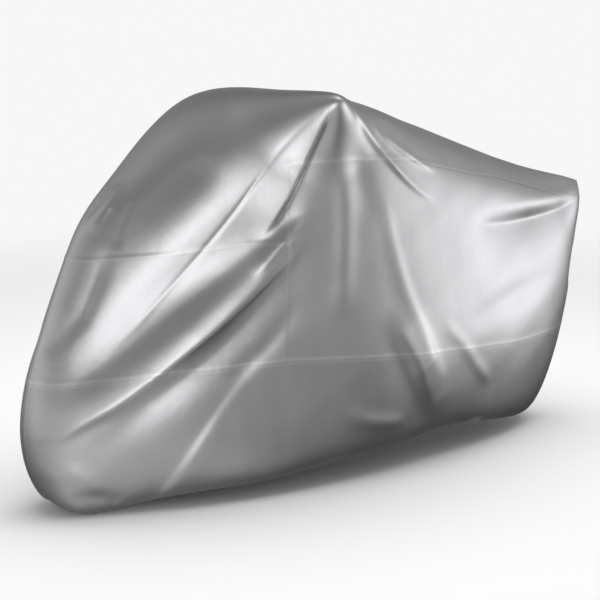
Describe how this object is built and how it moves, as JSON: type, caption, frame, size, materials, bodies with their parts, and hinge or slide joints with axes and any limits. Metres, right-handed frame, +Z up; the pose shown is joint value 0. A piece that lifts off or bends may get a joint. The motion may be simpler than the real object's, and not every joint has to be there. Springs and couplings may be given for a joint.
{
  "type": "motorcycle cover",
  "caption": "Fitted hood of silver coated cloth for a motorcycle, peaked over the bar ends, falling round both wheels to an elastic hem turned under, open below.",
  "frame": {"origin": "under the middle of the cover's length and width, level with the lowest point of its hem", "axes": "+X towards the tail with the nose at -X, +Z up, the motorcycle's left-hand side faces -Y"},
  "size_m": [2.3, 0.752, 1.272],
  "materials": {
    "crown_cloth": "silver coated woven polyester, soft metallic sheen",
    "side_cloth": "silver coated woven polyester, soft metallic sheen",
    "skirt_cloth": "silver coated woven polyester, soft metallic sheen, slightly dulled near the hem"
  },
  "bodies": {
    "root": {"top_panel": "crown_cloth", "side_front_left": "side_cloth", "side_rear_left": "side_cloth", "side_front_right": "side_cloth", "side_rear_right": "side_cloth", "skirt_left": "skirt_cloth", "skirt_right": "skirt_cloth"}
  },
  "joints": []
}
